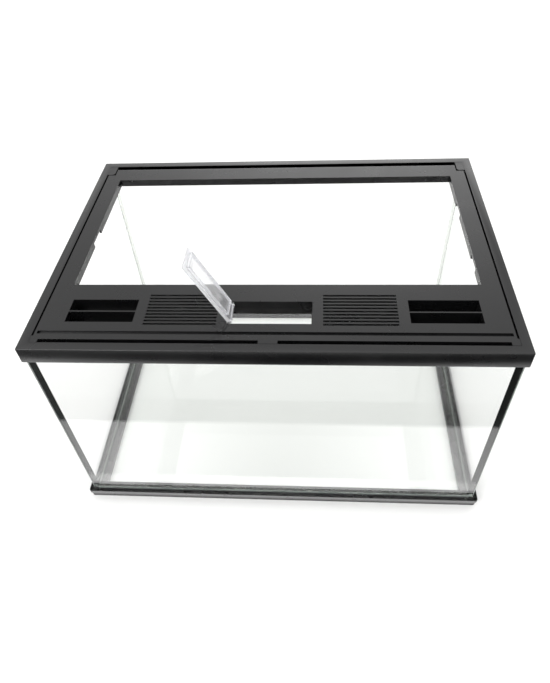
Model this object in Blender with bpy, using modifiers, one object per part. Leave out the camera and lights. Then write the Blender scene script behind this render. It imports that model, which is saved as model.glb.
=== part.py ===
"""Hamster cage: a rectangular glass tank between two black moulded frames, with a hinged lid panel.

World axes: +X to the right, +Y to the back, +Z up. The origin is on the floor, mid-footprint.
The lid panel is closed and the clear feed flap stands open, which is the rest pose of both joints.
"""

import math

import bmesh
import bpy
from mathutils import Matrix, Vector

# Driving dimensions, in metres.
WIDTH = 0.600
DEPTH = 0.426
HEIGHT = 0.346
GLASS = 0.005
WALL = 0.0035
GAP = 0.0003
BED = 0.001

# Base frame. It stands out past the top frame, and its lip stands out past its skirt.
BASE_HEIGHT = 0.0155
BASE_OUT = 0.003
BASE_CORNER = 0.004
BASE_LIP = 0.006
BASE_LIP_OUT = 0.0012
BASE_EDGE = 0.0008
LEDGE_TOP = 0.008
LEDGE_THICK = 0.0025
LEDGE_WIDTH = 0.0175
BASE_LEG = 0.0025

# Top frame.
TOP_SKIRT = 0.024
TOP_PLATE = 0.003
SIDE_BAR = 0.0125
FRONT_BAR = 0.012
BACK_BAR = 0.013
INNER_WALL = 0.003
REST_WIDTH = 0.0115
REST_THICK = 0.0025
REAR_WALL_DEPTH = 0.017
BLOCK_LONG = 0.0235
BLOCK_WIDE = 0.012
BLOCK_CORNER = 0.004
RIM_EDGE = 0.0012
DRAIN_X = 0.2722
DRAIN_LONG = 0.005
DRAIN_WIDE = 0.0042
DRAIN_INSET = 0.0004

# Lid panel.
LID_PLATE = 0.0028
LID_SKIRT = 0.011
SKIRT_THICK = 0.0025
SIDE_CLEAR = 0.0025
FRONT_CLEAR = 0.0055
TAB_LONG = 0.010
TAB_SIDE = 0.001
TONGUE_WIDTH = 0.023
WINDOW_X = 0.262
WINDOW_FRONT = -0.097
WINDOW_BACK = 0.1585
CLIP_SLOTS = ((-1, 0.014, 0.034), (1, 0.077, 0.031), (1, -0.0465, 0.029))
CLIP_DROP = 0.0045
CHANNEL_BACK = -0.1815
CHANNEL_FRONT = -0.1895
CHANNEL_DEPTH = 0.003
CHANNEL_X = 0.282
CHANNEL_SLOPE = 0.0055
CHANNEL_BACKING = 0.003

# Lid hinge.
HINGE_Y = 0.189
BARREL_R = 0.007
BARREL_WALL = 0.0026
BARREL_X = 0.2735
BOSS_LONG = 0.0155
NOTCH_AHEAD = 0.015
LID_PIN_R = 0.002
LID_PIN_INNER = 0.2635
LID_PIN_OUTER = 0.2845

# Front deck.
SLOT_COUNT = 10
SLOT_WIDTH = 0.0032
SLOT_FIRST = -0.1180
SLOT_LAST = -0.1690
GRILLE_INNER = 0.0646
GRILLE_OUTER = 0.1546
GRILLE_PAD = 0.0018
GRILLE_PAD_OUT = 0.0030
GRIP_INNER = 0.1682
GRIP_OUTER = 0.2535
GRIP_BACK = -0.126
GRIP_FRONT = -0.166
GRIP_DEPTH = 0.020
GRIP_WALL = 0.002
GRIP_BAR_Y = -0.147
GRIP_BAR = 0.002
FEED_X = 0.0515
FEED_BACK = -0.129
FEED_FRONT = -0.168
FEED_STEP_DEPTH = 0.0107
FEED_STEP = 0.001
PIN_BOSS = 0.004
PIN_BOSS_OUT = 0.006
PIN_BOSS_DEEP = 0.006

# Feed flap.
FLAP_OPEN_DEG = 116.5
FLAP_AXIS_X = -0.0475
FLAP_AXIS_DROP = 0.0016
FLAP_SIDE_CLEAR = 0.0008
FLAP_PLATE = 0.0018
FLAP_LONG = 0.0982
FLAP_START = 0.004
FLAP_RIM = 0.0015
FLAP_RIM_TALL = 0.0035
FLAP_FLANGE = 0.0055
KNUCKLE_R = 0.0020
KNUCKLE_LONG = 0.030
FLAP_PIN_R = 0.0008
FLAP_PIN_GRIP = 0.004

# Silicone beads.
BEAD_LEG = 0.0045
JOINT = 0.001
BED_INSIDE = 0.008
FLOOR_BEAD_STEPS = (0.0012, 0.0025)

# How far one shape reaches into another that it is joined to, so that the union is clean.
LAP = 0.0005
SLIVER = 0.0001

# Derived places.
HALF_X = WIDTH / 2
HALF_Y = DEPTH / 2
GLASS_X = HALF_X - WALL - GAP
GLASS_Y = HALF_Y - WALL - GAP
INSIDE_X = GLASS_X - GLASS
INSIDE_Y = GLASS_Y - GLASS
GLASS_LOW = LEDGE_TOP + GAP + BED + GAP
FLOOR_TOP = GLASS_LOW + GLASS
PLATE_LOW = HEIGHT - TOP_PLATE
GLASS_HIGH = PLATE_LOW - GAP - BED - GAP
OPEN_X = HALF_X - SIDE_BAR
OPEN_FRONT = -HALF_Y + FRONT_BAR
OPEN_BACK = HALF_Y - BACK_BAR
LID_LOW = HEIGHT - LID_SKIRT
REST_TOP = LID_LOW - GAP
LID_X = OPEN_X - SIDE_CLEAR
LID_FRONT = OPEN_FRONT + FRONT_CLEAR
LID_NOTCH = HINGE_Y - NOTCH_AHEAD
SEAM_HIGH = HEIGHT - REAR_WALL_DEPTH - GAP
HINGE_Z = HEIGHT - BARREL_R
FLAP_AXIS_Z = HEIGHT - FLAP_AXIS_DROP
FEED_MID_Y = (FEED_FRONT + FEED_BACK) / 2


def clear_scene():
    for item in list(bpy.data.objects):
        bpy.data.objects.remove(item)


def new_collection(name):
    group = bpy.data.collections.new(name)
    bpy.context.scene.collection.children.link(group)
    return group


def plain_material(name, colour, roughness, metallic=0.0, alpha=1.0):
    made = bpy.data.materials.new(name)
    made.use_nodes = True
    shader = made.node_tree.nodes["Principled BSDF"]
    shader.inputs["Base Color"].default_value = (*colour, 1.0)
    shader.inputs["Roughness"].default_value = roughness
    shader.inputs["Metallic"].default_value = metallic
    shader.inputs["Alpha"].default_value = alpha
    return made


def object_from(mesh_maker, name, group):
    mesh = bpy.data.meshes.new(name)
    shape = bmesh.new()
    mesh_maker(shape)
    shape.to_mesh(mesh)
    shape.free()
    item = bpy.data.objects.new(name, mesh)
    group.objects.link(item)
    return item


def block(name, low, high, group):
    """A box between two opposite corners, with its origin at its centre."""
    low, high = Vector(low), Vector(high)

    def make(shape):
        bmesh.ops.create_cube(shape, size=1.0, matrix=Matrix.Diagonal((*(high - low), 1.0)))

    item = object_from(make, name, group)
    item.location = (low + high) / 2
    return item


def rod(name, centre, axis, radius, length, group, sides=32):
    """A closed cylinder with its middle at centre, along a world axis."""

    def make(shape):
        bmesh.ops.create_cone(
            shape, cap_ends=True, segments=sides, radius1=radius, radius2=radius, depth=length
        )

    item = object_from(make, name, group)
    item.location = centre
    item.rotation_euler = Vector((0, 0, 1)).rotation_difference(Vector(axis)).to_euler()
    item.data.shade_smooth()
    item.data.set_sharp_from_angle(angle=math.radians(40))
    return item


def outline(name, points, low, high, group):
    """A flat outline in plan, extruded from height low to height high, as a mesh."""
    curve = bpy.data.curves.new(name, "CURVE")
    curve.dimensions = "2D"
    curve.fill_mode = "BOTH"
    curve.extrude = (high - low) / 2
    spline = curve.splines.new("POLY")
    spline.points.add(len(points) - 1)
    for place, (x, y) in zip(spline.points, points):
        place.co = (x, y, 0, 1)
    spline.use_cyclic_u = True
    drawn = bpy.data.objects.new(name + "_curve", curve)
    group.objects.link(drawn)
    drawn.location = (0, 0, (low + high) / 2)
    bpy.context.view_layer.update()
    mesh = bpy.data.meshes.new_from_object(drawn.evaluated_get(bpy.context.evaluated_depsgraph_get()))
    shape = bmesh.new()
    shape.from_mesh(mesh)
    bmesh.ops.remove_doubles(shape, verts=shape.verts, dist=0.00001)
    shape.to_mesh(mesh)
    shape.free()
    item = bpy.data.objects.new(name, mesh)
    item.matrix_world = drawn.matrix_world
    group.objects.link(item)
    bpy.data.objects.remove(drawn)
    return item


def arc(cx, cy, radius, start, end, steps=4):
    """Points on an arc in plan, with angles in degrees."""
    turns = [math.radians(start + (end - start) * i / steps) for i in range(steps + 1)]
    return [(cx + radius * math.cos(a), cy + radius * math.sin(a)) for a in turns]


def boolean(target, tool, operation):
    step = target.modifiers.new(tool.name, "BOOLEAN")
    step.operation = operation
    step.solver = "EXACT"
    step.object = tool
    tool.hide_render = True
    tool.display_type = "WIRE"


def cut(target, *tools):
    for tool in tools:
        boolean(target, tool, "DIFFERENCE")


def join(target, *tools):
    for tool in tools:
        boolean(target, tool, "UNION")


def round_edges(item, width, segments=2):
    step = item.modifiers.new("edges", "BEVEL")
    step.width = width
    step.segments = segments
    step.limit_method = "ANGLE"
    step.angle_limit = math.radians(40)


def finish(item, material):
    item.data.materials.clear()
    item.data.materials.append(material)
    return item


def mirrored(name, low, high, side):
    """A cutter or rib given for the right side, placed on the side that the sign says."""
    if side > 0:
        return block(name, low, high, cutters)
    return block(name, (-high[0], low[1], low[2]), (-low[0], high[1], high[2]), cutters)


def rounded_block(name, half_x, half_y, radius, low, high, group):
    """A box centred on the Z axis, with its four upright corners rounded in plan."""
    points = []
    for side_x, side_y, start in ((1, 1, 0), (-1, 1, 90), (-1, -1, 180), (1, -1, 270)):
        centre_x, centre_y = side_x * (half_x - radius), side_y * (half_y - radius)
        points += arc(centre_x, centre_y, radius, start, start + 90)
    return outline(name, points, low, high, group)


def base_frame():
    """Tray frame: a lipped outer wall, a ledge for the glass and an inner leg, open in the middle."""
    out_x, out_y = HALF_X + BASE_OUT, HALF_Y + BASE_OUT
    frame = rounded_block("base_frame", out_x, out_y, BASE_CORNER, 0, BASE_HEIGHT, parts)
    round_edges(frame, BASE_EDGE)
    lip_low = BASE_HEIGHT - BASE_LIP
    below = block("base_below", (-2 * out_x, -2 * out_y, -WALL), (2 * out_x, 2 * out_y, lip_low), cutters)
    skirt_x, skirt_y = out_x - BASE_LIP_OUT, out_y - BASE_LIP_OUT
    skirt = rounded_block("base_skirt", skirt_x, skirt_y, BASE_CORNER, -2 * WALL, BASE_HEIGHT, cutters)
    cut(below, skirt)
    in_x, in_y = HALF_X - WALL, HALF_Y - WALL
    open_x, open_y = in_x - LEDGE_WIDTH, in_y - LEDGE_WIDTH
    well = block("base_well", (-in_x, -in_y, LEDGE_TOP), (in_x, in_y, BASE_HEIGHT + WALL), cutters)
    middle = block("base_middle", (-open_x, -open_y, -WALL), (open_x, open_y, BASE_HEIGHT), cutters)
    roof = LEDGE_TOP - LEDGE_THICK
    under = block("base_under", (-in_x, -in_y, -WALL), (in_x, in_y, roof), cutters)
    leg_x, leg_y = open_x + BASE_LEG, open_y + BASE_LEG
    keep = block("base_keep", (-leg_x, -leg_y, -2 * WALL), (leg_x, leg_y, roof + WALL), cutters)
    cut(under, keep)
    cut(frame, below, well, middle, under)
    return finish(frame, black_plastic)


def ring(name, outer, inner, low, high, group):
    """A flat rectangular ring: outer and inner are half sizes in plan."""
    made = block(name, (-outer[0], -outer[1], low), (outer[0], outer[1], high), group)
    hole = block(
        name + "_hole", (-inner[0], -inner[1], low - WALL), (inner[0], inner[1], high + WALL), cutters
    )
    cut(made, hole)
    return made


def silicone_beds():
    """Flat silicone beds that bond the glass to the base frame's ledge and into the top frame."""
    low = LEDGE_TOP + GAP
    bed_in = (INSIDE_X - BED_INSIDE, INSIDE_Y - BED_INSIDE)
    finish(ring("bed_base", (GLASS_X, GLASS_Y), bed_in, low, low + BED, parts), clear_silicone)
    top = GLASS_HIGH + GAP
    edge_in = (INSIDE_X, INSIDE_Y)
    finish(ring("bed_top", (GLASS_X, GLASS_Y), edge_in, top, top + BED, parts), clear_silicone)


def glass_panes():
    """Front and back panes run the full width, the side panes stand between them, the floor lies inside."""
    side_y = INSIDE_Y - GAP - JOINT - GAP
    floor_x, floor_y = INSIDE_X - GAP, INSIDE_Y - GAP
    low, high = GLASS_LOW, GLASS_HIGH
    panes = {
        "glass_front": ((-GLASS_X, -GLASS_Y, low), (GLASS_X, -INSIDE_Y, high)),
        "glass_back": ((-GLASS_X, INSIDE_Y, low), (GLASS_X, GLASS_Y, high)),
        "glass_left": ((-GLASS_X, -side_y, low), (-INSIDE_X, side_y, high)),
        "glass_right": ((INSIDE_X, -side_y, low), (GLASS_X, side_y, high)),
        "glass_bottom": ((-floor_x, -floor_y, low), (floor_x, floor_y, FLOOR_TOP)),
    }
    for name, (first, last) in panes.items():
        finish(block(name, first, last, parts), clear_glass)


def corner_bead(name, side_x, side_y, material):
    """A corner bead: the layer between two panes and a hollow fillet inside the corner."""
    layer_out, layer_in = GAP, GAP + JOINT
    section = [(-GLASS, layer_out), (GAP + BEAD_LEG, layer_out)]
    section += arc(GAP + BEAD_LEG, layer_in + BEAD_LEG, BEAD_LEG, 270, 180)[1:]
    section += [(GAP, layer_in), (-GLASS, layer_in)]
    points = [(side_x * (INSIDE_X - u), side_y * (INSIDE_Y - v)) for u, v in section]
    low = FLOOR_TOP + GAP + BEAD_LEG + GAP
    bead = outline(name, points, low, SEAM_HIGH, parts)
    return finish(bead, material)


def corner_beads():
    corner_bead("seam_front_left", -1, -1, black_silicone)
    corner_bead("seam_front_right", 1, -1, black_silicone)
    corner_bead("seam_back_left", -1, 1, clear_silicone)
    corner_bead("seam_back_right", 1, 1, clear_silicone)


def floor_bead():
    """A bead all round the floor pane, with its inner side stepping down to the floor."""
    x, y = INSIDE_X - GAP, INSIDE_Y - GAP
    low = FLOOR_TOP + GAP
    thin, thick = FLOOR_BEAD_STEPS
    bead = ring("seam_floor", (x, y), (x - thin, y - thin), low, low + BEAD_LEG, parts)
    foot = ring("floor_bead_foot", (x, y), (x - BEAD_LEG, y - BEAD_LEG), low, low + thin, cutters)
    middle = ring("floor_bead_mid", (x, y), (x - thick, y - thick), low, low + thick, cutters)
    join(bead, foot, middle)
    return finish(bead, clear_silicone)


def rear_block(side):
    """A rear corner block in plan, with one rounded corner, that holds a lid hinge pin."""
    outer, inner = side * (OPEN_X + LAP), side * (OPEN_X - BLOCK_WIDE)
    front, back = OPEN_BACK - BLOCK_LONG, OPEN_BACK + LAP
    turn = (270, 180) if side > 0 else (270, 360)
    corner = arc(inner + side * BLOCK_CORNER, front + BLOCK_CORNER, BLOCK_CORNER, *turn)
    points = [(outer, back), (outer, front)] + corner + [(inner, back)]
    name = "rear_block_right" if side > 0 else "rear_block_left"
    return outline(name, points, HEIGHT - REAR_WALL_DEPTH, HEIGHT - SLIVER, cutters)


def top_frame():
    """Rim with a glass channel, an inner rest for the lid and two rear corner blocks."""
    low = HEIGHT - TOP_SKIRT
    frame = block("top_frame", (-HALF_X, -HALF_Y, low), (HALF_X, HALF_Y, HEIGHT), parts)
    round_edges(frame, RIM_EDGE)
    in_x, in_y = HALF_X - WALL, HALF_Y - WALL
    channel = block("channel", (-in_x, -in_y, low - WALL), (in_x, in_y, PLATE_LOW), cutters)
    wall_x = OPEN_X + INNER_WALL
    wall_front, wall_back = OPEN_FRONT - INNER_WALL, OPEN_BACK + INNER_WALL
    rest_low = REST_TOP - REST_THICK
    core = block(
        "core", (-wall_x, wall_front, rest_low), (wall_x, wall_back, HEIGHT + WALL), cutters
    )
    cut(channel, core)
    opening = block(
        "opening", (-OPEN_X, OPEN_FRONT, REST_TOP), (OPEN_X, OPEN_BACK, HEIGHT + WALL), cutters
    )
    rest_x, rest_front = OPEN_X - REST_WIDTH, OPEN_FRONT + REST_WIDTH
    throat = block(
        "throat", (-rest_x, rest_front, low - WALL), (rest_x, OPEN_BACK, HEIGHT), cutters
    )
    behind = block(
        "rear_clear",
        (-OPEN_X + BLOCK_WIDE, OPEN_BACK - BLOCK_LONG, low - WALL),
        (OPEN_X - BLOCK_WIDE, OPEN_BACK, HEIGHT),
        cutters,
    )
    cut(frame, channel, opening, throat, behind)
    drain_y = OPEN_FRONT + DRAIN_INSET
    for side in (-1, 1):
        join(frame, rear_block(side))
        drain = mirrored(
            "drain",
            (DRAIN_X, drain_y, rest_low - WALL),
            (DRAIN_X + DRAIN_LONG, drain_y + DRAIN_WIDE, REST_TOP + WALL),
            side,
        )
        middle_x = side * (LID_PIN_INNER + LID_PIN_OUTER) / 2
        length = LID_PIN_OUTER - LID_PIN_INNER + 2 * GAP
        bore = rod("bore", (middle_x, HINGE_Y, HINGE_Z), (1, 0, 0), LID_PIN_R + GAP, length, cutters)
        cut(frame, drain, bore)
    return finish(frame, black_plastic)


def lid_plan():
    """The lid's outline in plan, from the middle of its front edge round the right side to the left."""
    front, tab_front = LID_FRONT, OPEN_FRONT + GAP
    tab_x, tab_back = OPEN_X - GAP, OPEN_FRONT + TAB_LONG + TAB_SIDE
    tongue = TONGUE_WIDTH / 2
    right = [
        (tongue, tab_front),
        (tongue, front),
        (tab_x - TAB_LONG, front),
        (tab_x - TAB_LONG, tab_front),
        (tab_x, tab_front),
        (tab_x, tab_back),
        (LID_X, tab_back),
        (LID_X, LID_NOTCH),
        (BARREL_X, LID_NOTCH),
        (BARREL_X, HINGE_Y),
    ]
    return right + [(-x, y) for x, y in reversed(right)]


def under_hollow(name, low, high):
    """A hollow under the lid plate, inside the skirt."""
    return block(name, (*low, LID_LOW - WALL), (*high, HEIGHT - LID_PLATE), cutters)


def lid_hollows():
    """Hollows left of, right of, behind and in front of the window, so that the lid is a thin moulding."""
    out_x, in_x = LID_X - SKIRT_THICK, WINDOW_X + SKIRT_THICK
    front, back = LID_FRONT + SKIRT_THICK, LID_NOTCH - SKIRT_THICK
    side_right = under_hollow("hollow_right", (in_x, front), (out_x, back))
    side_left = under_hollow("hollow_left", (-out_x, front), (-in_x, back))
    across = under_hollow("hollow_front", (-out_x, front), (out_x, WINDOW_FRONT - SKIRT_THICK))
    behind = under_hollow("hollow_back", (-out_x, WINDOW_BACK + SKIRT_THICK), (out_x, back))
    join(across, side_right, side_left, behind)
    return across


def channel_cutter():
    """The shallow channel along the front deck: a square back wall and a sloping front."""
    low, high = HEIGHT - CHANNEL_DEPTH, HEIGHT + WALL
    bottom = block(
        "channel_cut", (-CHANNEL_X, CHANNEL_FRONT, low), (CHANNEL_X, CHANNEL_BACK, high), cutters
    )
    foot = CHANNEL_FRONT + CHANNEL_SLOPE
    for vertex in bottom.data.vertices:
        if vertex.co.y < 0 and vertex.co.z < 0:
            vertex.co.y = foot - bottom.location.y
    return bottom


def slot_cutters():
    """A row of ten bars for each grille, running across the deck."""
    pitch = (SLOT_LAST - SLOT_FIRST) / (SLOT_COUNT - 1)
    bars = []
    for side in (-1, 1):
        for i in range(SLOT_COUNT):
            y = SLOT_FIRST + pitch * i
            low = (GRILLE_INNER, y - SLOT_WIDTH / 2, HEIGHT - 2 * LID_PLATE)
            high = (GRILLE_OUTER, y + SLOT_WIDTH / 2, HEIGHT + WALL)
            bars.append(mirrored("slot", low, high, side))
    return bars


def grille_pad(side):
    """The thicker patch under a grille, which keeps its thin bars stiff."""
    out = GRILLE_PAD_OUT
    low = (GRILLE_INNER - out, SLOT_LAST - out, HEIGHT - LID_PLATE - GRILLE_PAD)
    high = (GRILLE_OUTER + out, SLOT_FIRST + out, HEIGHT - LID_PLATE / 2)
    return mirrored("grille_pad", low, high, side)


def grip(panel, side):
    """A recessed finger grip: a closed well with a bar across its middle."""
    out = GRIP_WALL
    shell = mirrored(
        "grip_shell",
        (GRIP_INNER - out, GRIP_FRONT - out, HEIGHT - GRIP_DEPTH - out),
        (GRIP_OUTER + out, GRIP_BACK + out, HEIGHT - LID_PLATE / 2),
        side,
    )
    join(panel, shell)
    spans = (
        (GRIP_FRONT, GRIP_BAR_Y - GRIP_BAR / 2),
        (GRIP_BAR_Y + GRIP_BAR / 2, GRIP_BACK),
    )
    for front, back in spans:
        well = mirrored(
            "grip_well",
            (GRIP_INNER, front, HEIGHT - GRIP_DEPTH),
            (GRIP_OUTER, back, HEIGHT + WALL),
            side,
        )
        cut(panel, well)


def feed_throat(panel):
    """The feed opening's walls, with a small step half way down, and bosses for the flap's pin."""
    out = GRIP_WALL
    shell = block(
        "feed_shell",
        (-FEED_X - out, FEED_FRONT - out, HEIGHT - GRIP_DEPTH),
        (FEED_X + out, FEED_BACK + out, HEIGHT - LID_PLATE / 2),
        cutters,
    )
    boss = block(
        "pin_boss",
        (FLAP_AXIS_X - PIN_BOSS, FEED_FRONT - PIN_BOSS_OUT, HEIGHT - PIN_BOSS_DEEP),
        (FLAP_AXIS_X + PIN_BOSS, FEED_BACK + PIN_BOSS_OUT, HEIGHT - LID_PLATE / 2),
        cutters,
    )
    join(panel, shell, boss)
    upper = block(
        "feed_upper",
        (-FEED_X, FEED_FRONT, HEIGHT - FEED_STEP_DEPTH),
        (FEED_X, FEED_BACK, HEIGHT + WALL),
        cutters,
    )
    lower = block(
        "feed_lower",
        (-FEED_X + FEED_STEP, FEED_FRONT + FEED_STEP, HEIGHT - GRIP_DEPTH - WALL),
        (FEED_X - FEED_STEP, FEED_BACK - FEED_STEP, HEIGHT),
        cutters,
    )
    length = FEED_BACK - FEED_FRONT + 2 * (FLAP_PIN_GRIP + GAP)
    bore = rod(
        "flap_bore", (FLAP_AXIS_X, FEED_MID_Y, FLAP_AXIS_Z), (0, 1, 0), FLAP_PIN_R + GAP, length, cutters, 16
    )
    cut(panel, upper, lower, bore)


def rear_barrel(panel):
    """The rolled rear edge that turns on the hinge pins: open below, solid at its two ends."""
    centre = (0, HINGE_Y, HINGE_Z)
    barrel = rod("barrel", centre, (1, 0, 0), BARREL_R - SLIVER / 2, 2 * BARREL_X, cutters, 40)
    join(panel, barrel)
    inner_x = BARREL_X - BOSS_LONG
    core = rod("barrel_core", centre, (1, 0, 0), BARREL_R - BARREL_WALL, 2 * inner_x, cutters, 32)
    mouth = block(
        "barrel_mouth",
        (-inner_x, LID_NOTCH - SKIRT_THICK - LAP, LID_LOW - 2 * WALL),
        (inner_x, HINGE_Y - LAP, HEIGHT - LID_PLATE),
        cutters,
    )
    cut(panel, core, mouth)
    for side in (-1, 1):
        middle_x = side * (LID_PIN_INNER + LID_PIN_OUTER) / 2
        length = LID_PIN_OUTER - LID_PIN_INNER + 2 * GAP
        bore = rod(
            "lid_bore", (middle_x, HINGE_Y, HINGE_Z), (1, 0, 0), LID_PIN_R + GAP, length, cutters
        )
        cut(panel, bore)


def lid_panel():
    """One thin moulding: window border, front deck, grilles, grips, feed throat and rear barrel."""
    panel = outline("lid_panel", lid_plan(), LID_LOW, HEIGHT, parts)
    cut(panel, lid_hollows())
    window = block(
        "window",
        (-WINDOW_X, WINDOW_FRONT, LID_LOW - WALL),
        (WINDOW_X, WINDOW_BACK, HEIGHT + WALL),
        cutters,
    )
    cut(panel, window)
    trough = block(
        "channel_floor",
        (-LID_X + WALL / 2, CHANNEL_FRONT - SLIVER, HEIGHT - CHANNEL_DEPTH - LID_PLATE),
        (LID_X - WALL / 2, CHANNEL_BACK + CHANNEL_BACKING, HEIGHT - LID_PLATE / 2),
        cutters,
    )
    join(panel, trough)
    join(panel, grille_pad(-1))
    join(panel, grille_pad(1))
    cut(panel, channel_cutter(), *slot_cutters())
    grip(panel, -1)
    grip(panel, 1)
    feed_throat(panel)
    for side, middle, length in CLIP_SLOTS:
        clip = mirrored(
            "clip_slot",
            (WINDOW_X - WALL, middle - length / 2, LID_LOW - WALL),
            (WINDOW_X + SKIRT_THICK + LAP, middle + length / 2, HEIGHT - CLIP_DROP),
            side,
        )
        cut(panel, clip)
    rear_barrel(panel)
    return finish(panel, black_plastic)


def lid_pins():
    """Steel pins that stay in the rear corner blocks and carry the lid's barrel."""
    for side, name in ((-1, "lid_pin_left"), (1, "lid_pin_right")):
        middle_x = side * (LID_PIN_INNER + LID_PIN_OUTER) / 2
        length = LID_PIN_OUTER - LID_PIN_INNER
        pin = rod(name, (middle_x, HINGE_Y, HINGE_Z), (1, 0, 0), LID_PIN_R, length, parts, 24)
        finish(pin, steel)


def feed_flap():
    """Clear plate with a raised rim on its underside and a knuckle at its end, turned to its open stop."""
    axis = bpy.data.objects.new("flap_axis", None)
    parts.objects.link(axis)
    axis.location = (FLAP_AXIS_X, FEED_MID_Y, FLAP_AXIS_Z)
    half = (FEED_BACK - FEED_FRONT) / 2 - FLAP_SIDE_CLEAR
    top = FLAP_AXIS_DROP
    low = top - FLAP_PLATE
    flap = block("feed_flap", (FLAP_START, -half, low), (FLAP_LONG, half, top), parts)
    neck_half = KNUCKLE_LONG / 2
    neck = block("flap_neck", (0, -neck_half, low), (FLAP_START + LAP, neck_half, top), cutters)
    rim_start, rim_end = FLAP_START + FLAP_FLANGE, FLAP_LONG - FLAP_FLANGE
    rim_out = half - FLAP_FLANGE
    rim = block(
        "flap_rim", (rim_start, -rim_out, low - FLAP_RIM_TALL), (rim_end, rim_out, low + LAP), cutters
    )
    pocket = block(
        "flap_pocket",
        (rim_start + FLAP_RIM, -rim_out + FLAP_RIM, low - FLAP_RIM_TALL - WALL),
        (rim_end - FLAP_RIM, rim_out - FLAP_RIM, low),
        cutters,
    )
    knuckle = rod("flap_knuckle", (0, 0, 0), (0, 1, 0), KNUCKLE_R, KNUCKLE_LONG, cutters, 24)
    bore = rod("flap_eye", (0, 0, 0), (0, 1, 0), FLAP_PIN_R + GAP, 2 * KNUCKLE_LONG, cutters, 16)
    join(flap, rim)
    cut(flap, pocket)
    join(flap, neck, knuckle)
    cut(flap, bore)
    for item in (flap, neck, rim, pocket, knuckle, bore):
        item.parent = axis
    axis.rotation_euler = (0, math.radians(-FLAP_OPEN_DEG), 0)
    return finish(flap, clear_plastic)


def flap_pin():
    """Steel pin through the flap's knuckle, gripped by the walls of the feed opening."""
    length = FEED_BACK - FEED_FRONT + 2 * FLAP_PIN_GRIP
    centre = (FLAP_AXIS_X, FEED_MID_Y, FLAP_AXIS_Z)
    pin = rod("flap_pin", centre, (0, 1, 0), FLAP_PIN_R, length, parts, 16)
    return finish(pin, steel)


clear_scene()
parts = new_collection("hamster_cage")
cutters = new_collection("cutters")
black_plastic = plain_material("black_plastic", (0.012, 0.012, 0.013), 0.3)
clear_glass = plain_material("clear_glass", (0.86, 0.93, 0.90), 0.02, alpha=0.25)
clear_plastic = plain_material("clear_plastic", (0.92, 0.93, 0.95), 0.08, alpha=0.4)
black_silicone = plain_material("black_silicone", (0.01, 0.01, 0.01), 0.35)
clear_silicone = plain_material("clear_silicone", (0.8, 0.82, 0.82), 0.3, alpha=0.6)
steel = plain_material("steel", (0.6, 0.6, 0.6), 0.3, metallic=1.0)

base_frame()
silicone_beds()
glass_panes()
corner_beads()
floor_bead()
top_frame()
lid_panel()
lid_pins()
feed_flap()
flap_pin()
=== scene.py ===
"""Looks of a glass hamster cage: moulded black frames, float glass, silicone beads and a clear feed flap."""

import math

import bmesh
import bpy
from mathutils import Matrix, Vector


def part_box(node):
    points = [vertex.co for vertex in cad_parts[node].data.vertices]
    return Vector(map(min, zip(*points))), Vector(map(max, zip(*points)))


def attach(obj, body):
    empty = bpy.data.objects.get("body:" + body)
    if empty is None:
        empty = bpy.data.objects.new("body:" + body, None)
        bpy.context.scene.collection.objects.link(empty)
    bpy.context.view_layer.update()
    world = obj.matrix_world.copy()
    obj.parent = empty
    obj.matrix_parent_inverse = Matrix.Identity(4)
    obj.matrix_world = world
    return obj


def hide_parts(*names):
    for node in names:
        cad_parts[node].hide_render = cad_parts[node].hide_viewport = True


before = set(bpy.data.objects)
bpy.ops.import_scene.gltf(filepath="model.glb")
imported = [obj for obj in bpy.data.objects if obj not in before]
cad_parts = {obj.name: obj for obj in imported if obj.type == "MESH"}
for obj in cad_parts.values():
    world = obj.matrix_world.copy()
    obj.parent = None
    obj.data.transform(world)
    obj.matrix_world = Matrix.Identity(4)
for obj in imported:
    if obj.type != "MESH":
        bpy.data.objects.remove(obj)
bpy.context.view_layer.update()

# ---------------------------------------------------------------------------------------------
# Base frame. One injection moulding in black ABS: a lipped wall round the foot of the glass, a
# ledge that the panes stand on and a leg under the ledge. The glass is bonded into it.
# ---------------------------------------------------------------------------------------------

MILLIMETRE = 0.001
MERGE = 0.01 * MILLIMETRE
EDGE_ROUND = 0.3 * MILLIMETRE
SHORTEST_EDGE = 1.3 * MILLIMETRE
SHARP_ANGLE = 35


def linear(code):
    """A colour written as sRGB hex, as the linear values that shaders take."""
    parts = [int(code[i : i + 2], 16) / 255 for i in (1, 3, 5)]
    made = [c / 12.92 if c <= 0.04045 else ((c + 0.055) / 1.055) ** 2.4 for c in parts]
    return (*made, 1.0)


def add_node(material, kind, inputs=None, **settings):
    """Adds a node, sets it up, and links or sets its inputs."""
    made = material.node_tree.nodes.new(kind)
    for name, value in settings.items():
        setattr(made, name, value)
    for name, value in (inputs or {}).items():
        if isinstance(value, bpy.types.NodeSocket):
            material.node_tree.links.new(value, made.inputs[name])
        else:
            made.inputs[name].default_value = value
    return made


def new_material(name):
    """An empty node material."""
    made = bpy.data.materials.new(name)
    made.use_nodes = True
    made.node_tree.nodes.clear()
    return made


def show(material, surface):
    """Gives a material its surface shader."""
    add_node(material, "ShaderNodeOutputMaterial", {"Surface": surface})
    return material


def make_active(item):
    """Selects one object alone."""
    if bpy.context.object and bpy.context.object.mode != "OBJECT":
        bpy.ops.object.mode_set(mode="OBJECT")
    bpy.ops.object.select_all(action="DESELECT")
    item.select_set(True)
    bpy.context.view_layer.objects.active = item
    return item


def select_edges(item, test):
    """Opens an object for editing and selects the edges that pass a test."""
    make_active(item)
    bpy.ops.object.mode_set(mode="EDIT")
    bpy.ops.mesh.select_mode(type="EDGE")
    bpy.ops.mesh.select_all(action="DESELECT")
    shape = bmesh.from_edit_mesh(item.data)
    for edge in shape.edges:
        if test(edge):
            edge.select_set(True)
    bmesh.update_edit_mesh(item.data)


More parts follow.
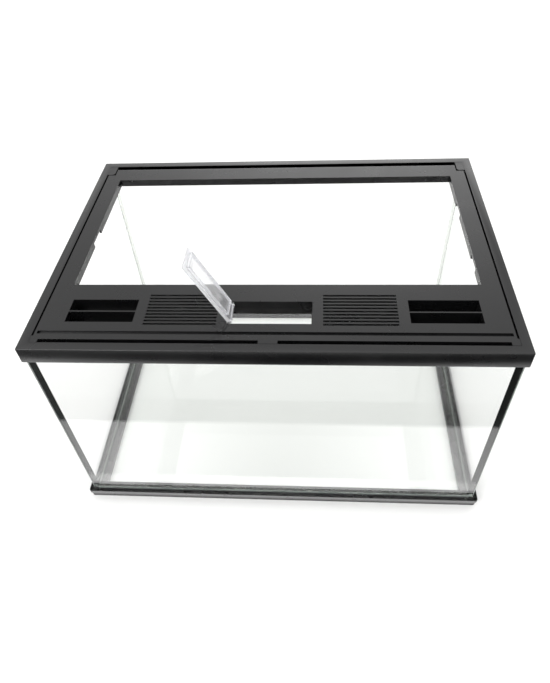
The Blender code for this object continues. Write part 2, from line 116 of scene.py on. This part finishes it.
def round_edges(item, width, segments, angle=SHARP_ANGLE, least=SHORTEST_EDGE, clamp=True):
    """Rounds the edges sharper than the angle and longer than the least, and keeps flats flat."""

    def takes(edge):
        if len(edge.link_faces) != 2 or edge.calc_length() < least:
            return False
        return edge.calc_face_angle() > math.radians(angle)

    make_active(item)
    bpy.ops.object.shade_smooth_by_angle(angle=math.radians(angle))
    select_edges(item, takes)
    bpy.ops.mesh.bevel(
        offset=width, segments=segments, affect="EDGES", clamp_overlap=clamp, harden_normals=True
    )
    bpy.ops.object.mode_set(mode="OBJECT")
    return item


def moulding_from(node, name):
    """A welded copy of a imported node, ready to have its edges rounded."""
    make_active(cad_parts[node])
    bpy.ops.object.duplicate()
    item = bpy.context.object
    item.name = name
    item.data.name = name
    item.parent = None
    for key in [k for k in item.keys() if k.startswith("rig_")]:
        del item[key]
    item.data.materials.clear()
    make_active(item)
    bpy.ops.mesh.customdata_custom_splitnormals_clear()
    bpy.ops.object.mode_set(mode="EDIT")
    bpy.ops.mesh.select_all(action="SELECT")
    bpy.ops.mesh.remove_doubles(threshold=MERGE)
    bpy.ops.object.mode_set(mode="OBJECT")
    return item


def settle(item, body, slot, material, *nodes):
    """Gives a finished piece its material and its body, and hides the nodes it stands for. The slot is not
    used.
    """
    item.data.materials.clear()
    item.data.materials.append(material)
    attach(item, body)
    if nodes:
        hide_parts(*nodes)
    return item


def moulded_black():
    """Black ABS from a lightly textured steel mould: a satin face with faint flow and dust."""
    made = new_material("moulded_black_abs")
    place = add_node(made, "ShaderNodeTexCoord").outputs["Object"]
    # Cloudy gloss left by the flow of the melt, about 45 mm across.
    flow = add_node(made, "ShaderNodeTexNoise", {"Vector": place, "Scale": 22.0, "Detail": 3.0})
    gloss = add_node(
        made,
        "ShaderNodeMapRange",
        {"Value": flow.outputs["Fac"], "From Min": 0.3, "From Max": 0.7, "To Min": 0.25, "To Max": 0.33},
    )
    # Mould grain is about 0.1 mm in the real moulding, and is drawn at about 1 mm to show.
    grain = add_node(made, "ShaderNodeTexNoise", {"Vector": place, "Scale": 900.0, "Detail": 4.0})
    bump = add_node(
        made,
        "ShaderNodeBump",
        {"Height": grain.outputs["Fac"], "Strength": 0.10, "Distance": 0.08 * MILLIMETRE},
    )
    # Sink and warp of a thin wall, some 65 mm long and under a tenth of a millimetre deep.
    warp = add_node(made, "ShaderNodeTexNoise", {"Vector": place, "Scale": 15.0, "Detail": 1.0})
    wavy = add_node(
        made,
        "ShaderNodeBump",
        {
            "Height": warp.outputs["Fac"],
            "Strength": 0.35,
            "Distance": 0.6 * MILLIMETRE,
            "Normal": bump.outputs["Normal"],
        },
    )
    # Dust specks about 1 mm across, some 22 mm apart.
    dust = add_node(made, "ShaderNodeTexVoronoi", {"Vector": place, "Scale": 45.0})
    speck = add_node(
        made,
        "ShaderNodeMapRange",
        {
            "Value": dust.outputs["Distance"],
            "From Min": 0.012,
            "From Max": 0.03,
            "To Min": 0.35,
            "To Max": 0.0,
        },
    )
    black = add_node(
        made,
        "ShaderNodeMix",
        {"Factor": flow.outputs["Fac"], "A": linear("#0a0a0b"), "B": linear("#101011")},
        data_type="RGBA",
    )
    colour = add_node(
        made,
        "ShaderNodeMix",
        {"Factor": speck.outputs["Result"], "A": black.outputs["Result"], "B": linear("#6a6864")},
        data_type="RGBA",
    )
    surface = add_node(
        made,
        "ShaderNodeBsdfPrincipled",
        {
            "Base Color": colour.outputs["Result"],
            "Roughness": gloss.outputs["Result"],
            "Normal": wavy.outputs["Normal"],
            "IOR": 1.54,
        },
    )
    return show(made, surface.outputs["BSDF"])


black_abs = moulded_black()

base_frame = moulding_from("base_frame", "base_frame_moulding")
round_edges(base_frame, EDGE_ROUND, 2, clamp=False)
settle(base_frame, "tank", "black_plastic", black_abs, "base_frame")

# ---------------------------------------------------------------------------------------------
# Silicone beds. Thin flat layers of clear silicone that the panes are pressed into, one on the
# base frame's ledge and one inside the top frame.
# ---------------------------------------------------------------------------------------------

BED_ROUND = 0.2 * MILLIMETRE


def straight_through(material, tint):
    """Plain tinted transparency, which doesn't bend light."""
    return add_node(material, "ShaderNodeBsdfTransparent", {"Color": linear(tint)}).outputs["BSDF"]


def passes_light(material, surface, share, straight):
    """Mixes a share of plain transparency into a shader."""
    mixed = add_node(material, "ShaderNodeMixShader", {"Fac": share, 1: surface, 2: straight})
    return mixed.outputs["Shader"]


def clear_silicone_rubber():
    """Acetoxy silicone cured clear and wetted to the glass, with a soft, hardly mirroring skin."""
    made = new_material("clear_silicone")
    place = add_node(made, "ShaderNodeTexCoord").outputs["Object"]
    # Tooling ripples about 12 mm apart.
    ripple = add_node(made, "ShaderNodeTexNoise", {"Vector": place, "Scale": 80.0, "Detail": 1.0})
    bump = add_node(
        made,
        "ShaderNodeBump",
        {"Height": ripple.outputs["Fac"], "Strength": 0.15, "Distance": 0.2 * MILLIMETRE},
    )
    skin = add_node(
        made,
        "ShaderNodeMapRange",
        {"Value": ripple.outputs["Fac"], "To Min": 0.05, "To Max": 0.12},
    )
    surface = add_node(
        made,
        "ShaderNodeBsdfPrincipled",
        {
            "Base Color": linear("#f3f4f2"),
            "Roughness": skin.outputs["Result"],
            "IOR": 1.41,
            "Specular IOR Level": 0.3,
            "Transmission Weight": 1.0,
            "Normal": bump.outputs["Normal"],
        },
    )
    straight = straight_through(made, "#f0f2f0")
    # Bonded faces pass light straight on, so half of the bead is simply open.
    wetted = passes_light(made, surface.outputs["BSDF"], 0.5, straight)
    rays = add_node(made, "ShaderNodeLightPath")
    return show(made, passes_light(made, wetted, rays.outputs["Is Shadow Ray"], straight))


clear_silicone = clear_silicone_rubber()

for node in ("bed_base", "bed_top"):
    bed = moulding_from(node, node + "_layer")
    round_edges(bed, BED_ROUND, 2)
    settle(bed, "tank", "clear_silicone", clear_silicone, node)

# ---------------------------------------------------------------------------------------------
# Glass. Five panes of 5 mm float glass, cut square with seamed edges. Front and back run the
# full width, the sides stand between them and the floor lies inside on the base frame's ledge.
# ---------------------------------------------------------------------------------------------

ARRIS = 0.5 * MILLIMETRE
# A face that points along the pane's thickness by less than this is a cut edge or an arris.
FACE_ON = 0.9


def float_glass():
    """Clear float glass, nearly colourless, that lets the light of lamps and of pale ground through."""
    made = new_material("float_glass")
    surface = add_node(
        made,
        "ShaderNodeBsdfPrincipled",
        {
            "Base Color": linear("#fefefe"),
            "Roughness": 0.0,
            "IOR": 1.52,
            "Transmission Weight": 1.0,
        },
    )
    rays = add_node(made, "ShaderNodeLightPath")
    lamps = add_node(
        made,
        "ShaderNodeMath",
        {0: rays.outputs["Is Shadow Ray"], 1: rays.outputs["Is Diffuse Ray"]},
        operation="MAXIMUM",
    )
    straight = straight_through(made, "#fcfdfc")
    return show(made, passes_light(made, surface.outputs["BSDF"], lamps.outputs["Value"], straight))


def seamed_edge():
    """The cut edge of float glass, rubbed with a belt: grey-green and satin."""
    made = new_material("seamed_glass_edge")
    place = add_node(made, "ShaderNodeTexCoord").outputs["Object"]
    # Belt marks about 1 mm apart.
    marks = add_node(made, "ShaderNodeTexNoise", {"Vector": place, "Scale": 800.0, "Detail": 3.0})
    rough = add_node(
        made,
        "ShaderNodeMapRange",
        {"Value": marks.outputs["Fac"], "To Min": 0.25, "To Max": 0.45},
    )
    surface = add_node(
        made,
        "ShaderNodeBsdfPrincipled",
        {
            "Base Color": linear("#dde8e3"),
            "Roughness": rough.outputs["Result"],
            "IOR": 1.52,
            "Transmission Weight": 0.75,
        },
    )
    return show(made, surface.outputs["BSDF"])


glass = float_glass()
glass_edge = seamed_edge()

# Each pane with the axis that its thickness lies on.
for node, across in (
    ("glass_front", 1),
    ("glass_back", 1),
    ("glass_left", 0),
    ("glass_right", 0),
    ("glass_bottom", 2),
):
    low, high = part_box(node)
    bpy.ops.object.select_all(action="DESELECT")
    bpy.ops.mesh.primitive_cube_add(size=1, location=(low + high) / 2, scale=high - low)
    pane = bpy.context.object
    pane.name = node + "_pane"
    make_active(pane)
    bpy.ops.object.transform_apply(location=True, rotation=True, scale=True)
    select_edges(pane, lambda edge: True)
    bpy.ops.mesh.bevel(offset=ARRIS, segments=1, affect="EDGES")
    bpy.ops.object.mode_set(mode="OBJECT")
    settle(pane, "tank", "clear_glass", glass, node)
    pane.data.materials.append(glass_edge)
    for face in pane.data.polygons:
        if abs(face.normal[across]) < FACE_ON:
            face.material_index = 1

# ---------------------------------------------------------------------------------------------
# Corner beads. Silicone between the edges of the panes and tooled to a hollow fillet inside:
# black at the two front corners, clear at the two back ones.
# ---------------------------------------------------------------------------------------------

BEAD_ROUND = 0.15 * MILLIMETRE
FLOOR_BEAD_ROUND = 0.5 * MILLIMETRE


def black_silicone_rubber():
    """Black neutral-cure silicone: a smooth dark skin with slight tooling ripples."""
    made = new_material("black_silicone")
    place = add_node(made, "ShaderNodeTexCoord").outputs["Object"]
    # Tooling ripples about 6 mm apart.
    ripple = add_node(made, "ShaderNodeTexNoise", {"Vector": place, "Scale": 160.0, "Detail": 2.0})
    bump = add_node(
        made,
        "ShaderNodeBump",
        {"Height": ripple.outputs["Fac"], "Strength": 0.3, "Distance": 0.3 * MILLIMETRE},
    )
    skin = add_node(
        made,
        "ShaderNodeMapRange",
        {"Value": ripple.outputs["Fac"], "To Min": 0.3, "To Max": 0.5},
    )
    surface = add_node(
        made,
        "ShaderNodeBsdfPrincipled",
        {
            "Base Color": linear("#0b0c0b"),
            "Roughness": skin.outputs["Result"],
            "IOR": 1.42,
            "Specular IOR Level": 0.1,
            "Normal": bump.outputs["Normal"],
        },
    )
    return show(made, surface.outputs["BSDF"])


black_silicone = black_silicone_rubber()

for corner in ("front_left", "front_right", "back_left", "back_right"):
    node = "seam_" + corner
    bead = moulding_from(node, node + "_bead")
    round_edges(bead, BEAD_ROUND, 2)
    if corner.startswith("front"):
        settle(bead, "tank", "black_silicone", black_silicone, node)
    else:
        settle(bead, "tank", "clear_silicone", clear_silicone, node)

floor_bead = moulding_from("seam_floor", "seam_floor_bead")
round_edges(floor_bead, FLOOR_BEAD_ROUND, 3)
settle(floor_bead, "tank", "clear_silicone", clear_silicone, "seam_floor")

# ---------------------------------------------------------------------------------------------
# Top frame. A black ABS rim that caps the glass, with an inner rest that the lid closes on, two
# drain holes at the front and two rear corner blocks that hold the lid's pins.
# ---------------------------------------------------------------------------------------------

NEAR = 0.05 * MILLIMETRE
RIM_ROUND = 1.0 * MILLIMETRE
# Shorter edges round the drain holes and corner blocks stay sharp.
SHORTEST_RIM_EDGE = 6 * MILLIMETRE
top_frame = moulding_from("top_frame", "top_frame_moulding")
rim_low, rim_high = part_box("top_frame")


def outer_rim(edge):
    """The top frame's four outer edges, and the four upright ones at its corners."""
    ends = [vertex.co for vertex in edge.verts]
    on_side = [
        all(min(end[axis] - rim_low[axis], rim_high[axis] - end[axis]) < NEAR for end in ends)
        for axis in (0, 1)
    ]
    on_top = all(rim_high.z - end.z < NEAR for end in ends)
    return all(on_side) or (on_top and any(on_side))


select_edges(top_frame, outer_rim)
bpy.ops.mesh.bevel(offset=RIM_ROUND, segments=4, affect="EDGES", clamp_overlap=False)
bpy.ops.object.mode_set(mode="OBJECT")
round_edges(top_frame, EDGE_ROUND, 2, least=SHORTEST_RIM_EDGE, clamp=False)
settle(top_frame, "tank", "black_plastic", black_abs, "top_frame")

# ---------------------------------------------------------------------------------------------
# Lid pins. Two short pins of drawn steel wire with turned ends, pressed into the corner blocks.
# ---------------------------------------------------------------------------------------------


def drawn_steel():
    """Bright drawn steel wire, with an uneven polish."""
    made = new_material("drawn_steel")
    place = add_node(made, "ShaderNodeTexCoord").outputs["Object"]
    # Finer than 0.1 mm in the real wire, and drawn at about 0.7 mm to show.
    polish = add_node(made, "ShaderNodeTexNoise", {"Vector": place, "Scale": 1500.0, "Detail": 3.0})
    rough = add_node(
        made,
        "ShaderNodeMapRange",
        {"Value": polish.outputs["Fac"], "To Min": 0.18, "To Max": 0.36},
    )
    surface = add_node(
        made,
        "ShaderNodeBsdfPrincipled",
        {"Base Color": linear("#b9b9ba"), "Metallic": 1.0, "Roughness": rough.outputs["Result"]},
    )
    return show(made, surface.outputs["BSDF"])


steel = drawn_steel()
PIN_SIDES = 40
# The chamfer as a share of the pin's radius, cut only where the ends meet the side.
PIN_CHAMFER = 0.3
PIN_END_ANGLE = 60


def turned_pin(node, name, axis, body):
    """A pin on the place of a packed one, with chamfered ends."""
    low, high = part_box(node)
    size = high - low
    radius = min(size) / 2
    turn = (0, math.pi / 2, 0) if axis == 0 else (math.pi / 2, 0, 0)
    bpy.ops.object.select_all(action="DESELECT")
    bpy.ops.mesh.primitive_cylinder_add(
        vertices=PIN_SIDES,
        radius=radius,
        depth=size[axis],
        location=(low + high) / 2,
        rotation=turn,
    )
    pin = bpy.context.object
    pin.name = name
    make_active(pin)
    bpy.ops.object.transform_apply(location=True, rotation=True, scale=True)
    round_edges(pin, radius * PIN_CHAMFER, 2, angle=PIN_END_ANGLE)
    return settle(pin, body, "steel", steel, node)


turned_pin("lid_pin_left", "lid_pin_left_turned", 0, "tank")
turned_pin("lid_pin_right", "lid_pin_right_turned", 0, "tank")

# ---------------------------------------------------------------------------------------------
# Lid panel. One thin black ABS moulding: a window border, a front deck with two vent grilles and
# two finger grips, the feed opening and a rolled rear edge that turns on the pins.
# ---------------------------------------------------------------------------------------------

lid = moulding_from("lid_panel", "lid_panel_moulding")
round_edges(lid, EDGE_ROUND, 2)
settle(lid, "lid", "black_plastic", black_abs, "lid_panel")

# ---------------------------------------------------------------------------------------------
# Feed flap. A clear polystyrene moulding with a raised rim under it, standing open on its pin.
# ---------------------------------------------------------------------------------------------


def clear_polystyrene(hinge, along, middle, half, reach, border):
    """Crystal polystyrene: a clear panel inside a flange that the mould leaves frosted."""
    made = new_material("clear_polystyrene")
    place = add_node(made, "ShaderNodeTexCoord").outputs["Object"]
    # Distance into the border, measured along the flap and across it.
    from_hinge = add_node(made, "ShaderNodeVectorMath", {0: place, 1: hinge}, operation="SUBTRACT")
    down = add_node(
        made, "ShaderNodeVectorMath", {0: from_hinge.outputs[0], 1: along}, operation="DOT_PRODUCT"
    )
    over = add_node(
        made, "ShaderNodeMath", {0: down.outputs["Value"], 1: reach - border}, operation="SUBTRACT"
    )
    split = add_node(made, "ShaderNodeSeparateXYZ", {"Vector": place})
    aside = add_node(made, "ShaderNodeMath", {0: split.outputs["Y"], 1: middle}, operation="SUBTRACT")
    apart = add_node(made, "ShaderNodeMath", {0: aside.outputs[0]}, operation="ABSOLUTE")
    beyond = add_node(made, "ShaderNodeMath", {0: apart.outputs[0], 1: half - border}, operation="SUBTRACT")
    depth = add_node(made, "ShaderNodeMath", {0: over.outputs[0], 1: beyond.outputs[0]}, operation="MAXIMUM")
    flange = add_node(
        made,
        "ShaderNodeMapRange",
        {"Value": depth.outputs[0], "From Min": -0.3 * MILLIMETRE, "From Max": 0.3 * MILLIMETRE},
    )
    # Cloudy patches about 15 mm across, where the melt cooled against the mould.
    cloud = add_node(made, "ShaderNodeTexNoise", {"Vector": place, "Scale": 65.0, "Detail": 3.0})
    clear = add_node(
        made,
        "ShaderNodeMapRange",
        {
            "Value": cloud.outputs["Fac"],
            "From Min": 0.35,
            "From Max": 0.65,
            "To Min": 0.80,
            "To Max": 0.93,
        },
    )
    passed = add_node(
        made,
        "ShaderNodeMix",
        {"Factor": flange.outputs["Result"], "A": clear.outputs["Result"], "B": 0.62},
    )
    rough = add_node(made, "ShaderNodeMix", {"Factor": flange.outputs["Result"], "A": 0.05, "B": 0.3})
    bump = add_node(
        made,
        "ShaderNodeBump",
        {"Height": cloud.outputs["Fac"], "Strength": 0.25, "Distance": 0.4 * MILLIMETRE},
    )
    surface = add_node(
        made,
        "ShaderNodeBsdfPrincipled",
        {
            "Base Color": linear("#fbfbfd"),
            "Roughness": rough.outputs["Result"],
            "IOR": 1.59,
            "Transmission Weight": passed.outputs["Result"],
            "Normal": bump.outputs["Normal"],
        },
    )
    rays = add_node(made, "ShaderNodeLightPath")
    straight = straight_through(made, "#eef0f2")
    return show(made, passes_light(made, surface.outputs["BSDF"], rays.outputs["Is Shadow Ray"], straight))


FLAP_OPEN = math.radians(116.5)
FLAP_BORDER = 5.5 * MILLIMETRE
flap_low, flap_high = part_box("feed_flap")
pin_low, pin_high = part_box("flap_pin")
flap_along = Vector((math.cos(FLAP_OPEN), 0, math.sin(FLAP_OPEN)))
flap_hinge = (pin_low + pin_high) / 2
flap_reach = (flap_high.z - flap_hinge.z) / flap_along.z
polystyrene = clear_polystyrene(
    flap_hinge,
    flap_along,
    (flap_low.y + flap_high.y) / 2,
    (flap_high.y - flap_low.y) / 2,
    flap_reach,
    FLAP_BORDER,
)

flap = moulding_from("feed_flap", "feed_flap_moulding")
round_edges(flap, EDGE_ROUND, 3)
settle(flap, "flap", "clear_plastic", polystyrene, "feed_flap")

turned_pin("flap_pin", "flap_pin_turned", 1, "lid")

# ---------------------------------------------------------------------------------------------
# Studio. A pale floor with soft boxes to the left and above. Cards out of the camera's sight are
# what the glass and the black faces mirror: a backdrop, the ground in front and a strip at the left.
# ---------------------------------------------------------------------------------------------


def new_glow(name, far, near, centre, reach):
    """A card's light, near at one point and changing smoothly to far over its reach on each axis."""
    made = new_material(name)
    place = add_node(made, "ShaderNodeTexCoord").outputs["Object"]
    moved = add_node(made, "ShaderNodeVectorMath", {0: place, 1: centre}, operation="SUBTRACT")
    scaled = add_node(made, "ShaderNodeVectorMath", {0: moved.outputs[0], 1: reach}, operation="DIVIDE")
    away = add_node(made, "ShaderNodeVectorMath", {0: scaled.outputs[0]}, operation="LENGTH")
    ramp = add_node(
        made,
        "ShaderNodeMapRange",
        {"Value": away.outputs["Value"], "To Min": near, "To Max": far},
        interpolation_type="SMOOTHSTEP",
    )
    surface = add_node(made, "ShaderNodeEmission", {"Strength": ramp.outputs["Result"]})
    # Only a ray that some surface has mirrored meets the card, so it never shows through the glass.
    rays = add_node(made, "ShaderNodeLightPath")
    mirrored = add_node(
        made, "ShaderNodeMath", {0: rays.outputs["Glossy Depth"], 1: 0.5}, operation="GREATER_THAN"
    )
    unseen = add_node(made, "ShaderNodeBsdfTransparent")
    mixed = add_node(
        made,
        "ShaderNodeMixShader",
        {"Fac": mirrored.outputs["Value"], 1: unseen.outputs["BSDF"], 2: surface.outputs["Emission"]},
    )
    return show(made, mixed.outputs["Shader"])


def card(name, centre, size, turn, material):
    """A flat stage card, with its place in its mesh."""
    bpy.ops.object.select_all(action="DESELECT")
    bpy.ops.mesh.primitive_plane_add(size=1, location=centre, rotation=turn)
    made = bpy.context.object
    made.name = name
    made.scale = (*size, 1)
    make_active(made)
    bpy.ops.object.transform_apply(location=True, rotation=True, scale=True)
    made.data.materials.append(material)
    return made


def only_mirrored(made):
    """Leaves a card out of everything but reflections."""
    made.visible_camera = False
    made.visible_diffuse = False
    made.visible_shadow = False


FLOOR_SIZE = (14, 14)
pale_floor = new_material("pale_floor")
paper = add_node(
    pale_floor, "ShaderNodeBsdfPrincipled", {"Base Color": linear("#f8f8f7"), "Roughness": 0.9}
)
show(pale_floor, paper.outputs["BSDF"])
FLAT = (0, 0, 0)
card("studio_floor", (0, 0, 0), FLOOR_SIZE, FLAT, pale_floor)

UPRIGHT = (math.pi / 2, 0, 0)
# A reach so long that the glow doesn't change along that axis.
FAR = 1000.0
backdrop_glow = new_glow("backdrop_glow", 0.95, 2.6, (0.35, 3.4, 1.8), (2.4, FAR, 2.5))
only_mirrored(card("backdrop", (0, 3.4, 2.6), (10, 5.2), UPRIGHT, backdrop_glow))

# The ground is bright at the cage's foot, dimmer in front of its middle and dark from there on. The
# cards lie half a millimetre apart in height.
foot_glow = new_glow("foot_ground_glow", 1.9, 2.1, (0, 0, 0), (1.0, FAR, FAR))
only_mirrored(card("foot_ground", (0, -0.228, 0.0015), (3.0, 0.024), FLAT, foot_glow))
near_glow = new_glow("near_ground_glow", 1.4, 0.4, (0, -0.3, 0), (0.26, FAR, FAR))
only_mirrored(card("near_ground", (0, -0.293, 0.0010), (3.0, 0.106), FLAT, near_glow))
dark_glow = new_glow("dark_ground_glow", 0.03, 0.22, (-1.0, -0.6, 0), (1.1, FAR, FAR))
only_mirrored(card("dark_ground", (-0.05, -0.598, 0.0005), (2.0, 0.504), FLAT, dark_glow))

STRIP_PLACE = Vector((-1.15, -1.45, 1.45))
STRIP_AIM = Vector((-0.25, -0.20, 0.34))
strip_glow = new_glow("strip_glow", 6.0, 12.0, (-1.25, -1.5, 1.45), (0.6, FAR, FAR))
strip_turn = (STRIP_AIM - STRIP_PLACE).to_track_quat("Z", "Y").to_euler()
only_mirrored(card("left_strip", STRIP_PLACE, (0.95, 1.4), strip_turn, strip_glow))

WORLD_STRENGTH = 1.24
world = bpy.data.worlds.new("studio")
bpy.context.scene.world = world
world.use_nodes = True
surround = world.node_tree.nodes["Background"]
surround.inputs["Color"].default_value = (1, 1, 1, 1)
surround.inputs["Strength"].default_value = WORLD_STRENGTH


def soft_box(name, place, aim, size, power):
    """A square area lamp turned to a point, with its power in watts."""
    data = bpy.data.lights.new(name, "AREA")
    data.size = size
    data.energy = power
    made = bpy.data.objects.new(name, data)
    bpy.context.scene.collection.objects.link(made)
    made.location = place
    made.rotation_euler = (Vector(aim) - Vector(place)).to_track_quat("-Z", "Y").to_euler()


soft_box("soft_box_left", (-1.15, -1.5, 1.6), (-0.2, -0.2, 0.3), 0.7, 10)
soft_box("soft_box_top", (0.3, -0.2, 3.2), (0, 0, 0), 2.0, 6)

# Camera, in front and a little to the right, looking down on the lid.
CAMERA_PLACE = Vector((0.05721, -0.65627, 0.83457))
CAMERA_YAW = 0.1049
CAMERA_PITCH = 0.8093
CAMERA_ROLL = -0.0691
FOCAL_LENGTH = 30.45
SENSOR_WIDTH = 36
LENS_SHIFT = -0.0037
forward = Vector(
    (
        -math.sin(CAMERA_YAW) * math.cos(CAMERA_PITCH),
        math.cos(CAMERA_YAW) * math.cos(CAMERA_PITCH),
        -math.sin(CAMERA_PITCH),
    )
)
level = Vector((math.cos(CAMERA_YAW), math.sin(CAMERA_YAW), 0))
rolled = Matrix.Rotation(CAMERA_ROLL, 3, -forward)
side = rolled @ level
upward = rolled @ level.cross(forward)
lens = bpy.data.cameras.new("camera")
lens.sensor_width = SENSOR_WIDTH
lens.lens = FOCAL_LENGTH
lens.shift_y = LENS_SHIFT
camera = bpy.data.objects.new("camera", lens)
bpy.context.scene.collection.objects.link(camera)
turned = Matrix((side, upward, -forward)).transposed()
camera.matrix_world = Matrix.Translation(CAMERA_PLACE) @ turned.to_4x4()
bpy.context.scene.camera = camera
bpy.context.scene.view_settings.view_transform = "Standard"
